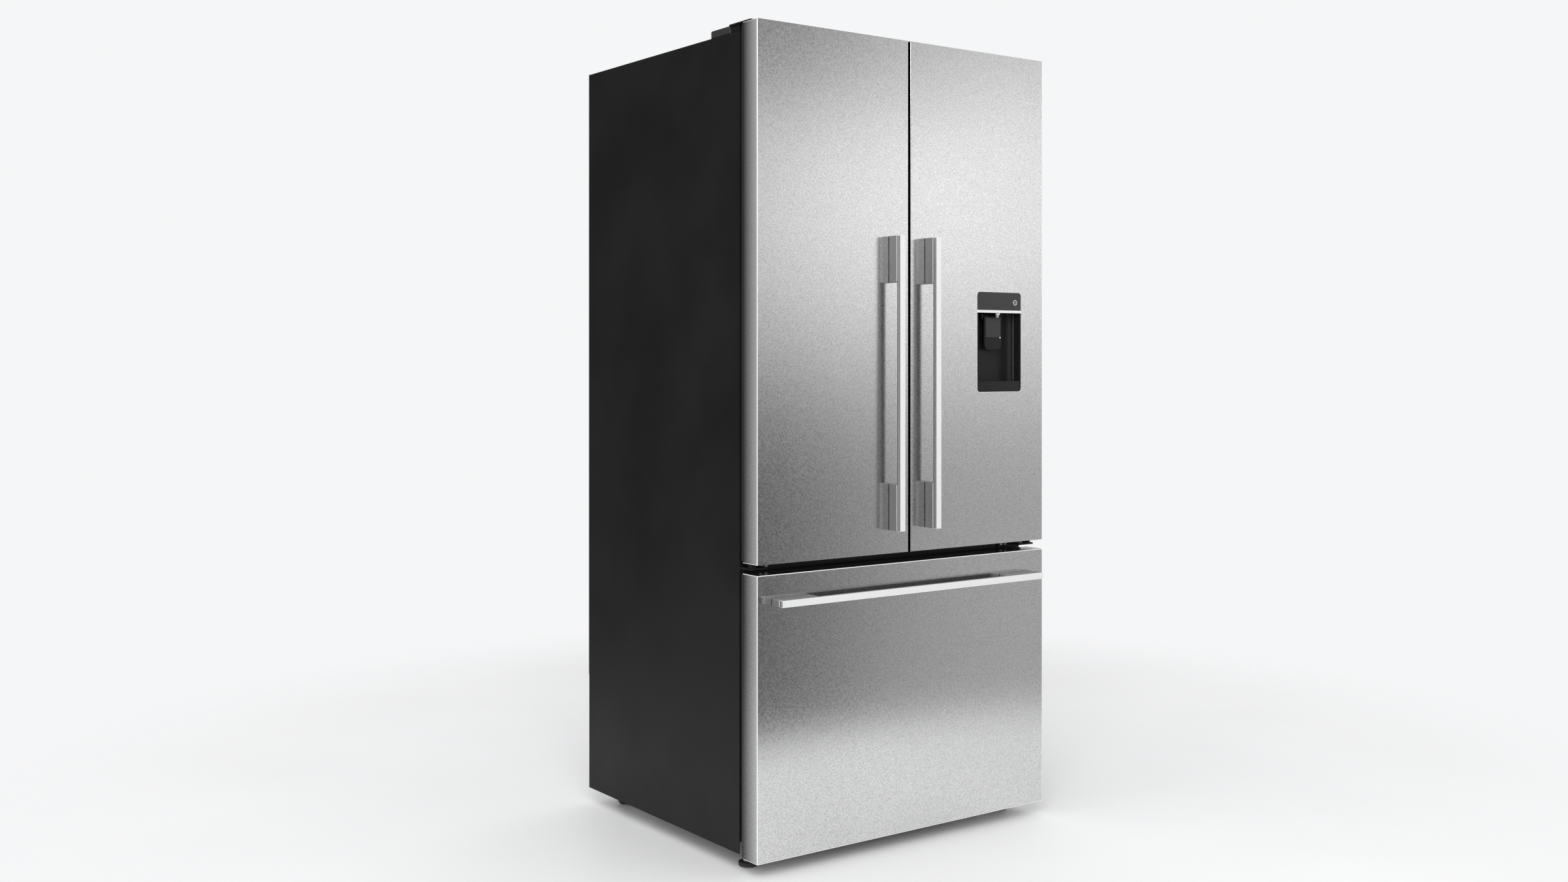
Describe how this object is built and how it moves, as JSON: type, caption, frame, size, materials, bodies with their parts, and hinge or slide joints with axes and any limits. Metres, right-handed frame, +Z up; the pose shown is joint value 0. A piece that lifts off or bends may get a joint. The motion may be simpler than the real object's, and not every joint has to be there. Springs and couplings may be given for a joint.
{
  "type": "french door refrigerator",
  "caption": "Free-standing refrigerator with paired upper doors, a water dispenser in the right door and a pull-out freezer drawer below.",
  "frame": {"origin": "centre of the outer box's bottom, on the floor that the feet stand on", "axes": "+Z up, -Y out through the doors, +X to the right of someone facing the doors"},
  "size_m": [0.79, 0.733, 1.715],
  "materials": {
    "satin_steel": "fine satin stainless sheet",
    "grip_steel": "brushed stainless bar",
    "case_paint": "dark textured enamel",
    "zinc_steel": "zinc plated sheet",
    "black_enamel": "semi-gloss black enamel",
    "liner_white": "white vacuum-formed plastic",
    "cap_grey": "dark grey moulded plastic",
    "seal_grey": "soft grey magnetic seal",
    "foam": "rigid insulating foam",
    "clear_plastic": "clear moulded plastic",
    "shelf_glass": "tempered glass",
    "dispenser_black": "black moulded plastic",
    "chrome": "bright chrome",
    "lamp": "frosted diffuser",
    "coil_metal": "bare aluminium fin and tube",
    "foot_black": "black moulded plastic",
    "fan_black": "black moulded plastic"
  },
  "bodies": {
    "cabinet": {"cabinet_wrapper": "case_paint", "cabinet_foam": "foam", "cross_rail": "black_enamel", "fridge_liner": "liner_white", "freezer_liner": "liner_white", "rear_panel": "zinc_steel", "machine_cover": "zinc_steel", "base_frame": "zinc_steel", "door_hinges": "black_enamel", "hinge_covers": "cap_grey", "air_duct_cover": "liner_white", "led_light": "lamp", "shelf_frames": "liner_white", "shelf_glass": "shelf_glass", "crisper_cover": "liner_white", "freezer_back_cover": "liner_white", "evaporator_unit": "coil_metal", "condenser_unit": "coil_metal", "compressor": "black_enamel", "drawer_fixed_rails": "zinc_steel", "fasteners": "zinc_steel"},
    "left_door": {"left_door_skin": "satin_steel", "left_door_caps": "cap_grey", "left_door_foam": "foam", "left_door_liner": "liner_white", "left_door_gasket": "seal_grey", "left_door_handle": "grip_steel", "left_door_bins": "clear_plastic"},
    "right_door": {"right_door_skin": "satin_steel", "right_door_caps": "cap_grey", "right_door_foam": "foam", "right_door_liner": "liner_white", "right_door_gasket": "seal_grey", "right_door_handle": "grip_steel", "right_door_bins": "clear_plastic", "dispenser_housing": "dispenser_black", "dispenser_trim": "chrome", "dispenser_nozzle": "chrome", "drip_tray": "dispenser_black"},
    "mullion_flap": {"mullion_flap": "cap_grey"},
    "dairy_lid": {"dairy_lid": "clear_plastic"},
    "dispenser_paddle": {"dispenser_paddle": "dispenser_black"},
    "lock_button": {"lock_button": "dispenser_black"},
    "freezer_drawer": {"freezer_door_skin": "satin_steel", "freezer_door_foam": "foam", "freezer_door_liner": "liner_white", "freezer_door_gasket": "seal_grey", "freezer_door_handle": "grip_steel", "drawer_basket": "clear_plastic", "drawer_arms": "zinc_steel"},
    "drawer_mid_rails": {"drawer_mid_rails": "zinc_steel"},
    "freezer_tray": {"freezer_tray": "clear_plastic"},
    "crisper_left": {"crisper_left": "clear_plastic"},
    "crisper_right": {"crisper_right": "clear_plastic"},
    "evaporator_fan": {"evaporator_fan": "fan_black"},
    "condenser_fan": {"condenser_fan": "fan_black"},
    "left_foot": {"left_foot": "foot_black"},
    "right_foot": {"right_foot": "foot_black"},
    "left_roller": {"left_roller": "foot_black"},
    "right_roller": {"right_roller": "foot_black"}
  },
  "joints": [
    {"name": "left_door_hinge", "type": "hinge", "parent": "cabinet", "child": "left_door", "pos_m": [-0.381, -0.2905, 0.626], "axis": [0, 0, -1], "range_deg": [0, 115]},
    {"name": "right_door_hinge", "type": "hinge", "parent": "cabinet", "child": "right_door", "pos_m": [0.381, -0.2905, 0.626], "axis": [0, 0, 1], "range_deg": [0, 115]},
    {"name": "flap_hinge", "type": "hinge", "parent": "left_door", "child": "mullion_flap", "pos_m": [-0.023, -0.249, 0.668], "axis": [0, 0, -1], "range_deg": [0, 90]},
    {"name": "drawer_slide", "type": "slide", "parent": "cabinet", "child": "freezer_drawer", "axis": [0, -1, 0], "range_m": [0, 0.42]},
    {"name": "mid_rail_slide", "type": "slide", "parent": "cabinet", "child": "drawer_mid_rails", "axis": [0, -1, 0], "range_m": [0, 0.21]},
    {"name": "tray_slide", "type": "slide", "parent": "freezer_drawer", "child": "freezer_tray", "axis": [0, 1, 0], "range_m": [0, 0.08]},
    {"name": "crisper_left_slide", "type": "slide", "parent": "cabinet", "child": "crisper_left", "axis": [0, -1, 0], "range_m": [0, 0.1]},
    {"name": "crisper_right_slide", "type": "slide", "parent": "cabinet", "child": "crisper_right", "axis": [0, -1, 0], "range_m": [0, 0.1]},
    {"name": "dairy_lid_hinge", "type": "hinge", "parent": "left_door", "child": "dairy_lid", "pos_m": [-0.194, -0.262, 1.495], "axis": [1, 0, 0], "range_deg": [0, 80]},
    {"name": "paddle_hinge", "type": "hinge", "parent": "right_door", "child": "dispenser_paddle", "pos_m": [0.2575, -0.3035, 1.13], "axis": [1, 0, 0], "range_deg": [0, 8], "stiffness_Nm_per_rad": 0.1, "springref_deg": -11.46},
    {"name": "lock_button_press", "type": "slide", "parent": "right_door", "child": "lock_button", "axis": [0, 1, 0], "range_m": [0, 0.0015], "stiffness_N_per_m": 400, "springref_m": -0.001},
    {"name": "left_foot_turn", "type": "hinge", "parent": "cabinet", "child": "left_foot", "pos_m": [-0.35, -0.232, 0.02], "axis": [0, 0, 1], "continuous": true},
    {"name": "right_foot_turn", "type": "hinge", "parent": "cabinet", "child": "right_foot", "pos_m": [0.35, -0.232, 0.02], "axis": [0, 0, 1], "continuous": true},
    {"name": "left_roller_spin", "type": "hinge", "parent": "cabinet", "child": "left_roller", "pos_m": [-0.325, 0.31, 0.018], "axis": [1, 0, 0], "continuous": true},
    {"name": "right_roller_spin", "type": "hinge", "parent": "cabinet", "child": "right_roller", "pos_m": [0.325, 0.31, 0.018], "axis": [1, 0, 0], "continuous": true},
    {"name": "condenser_fan_spin", "type": "hinge", "parent": "cabinet", "child": "condenser_fan", "pos_m": [-0.005, 0.28, 0.155], "axis": [1, 0, 0], "continuous": true},
    {"name": "evaporator_fan_spin", "type": "hinge", "parent": "cabinet", "child": "evaporator_fan", "pos_m": [0, 0.125, 0.48], "axis": [0, 1, 0], "continuous": true}
  ],
  "couplings": [
    {"joint": "mid_rail_slide", "follows": "drawer_slide", "ratio": 0.5}
  ]
}
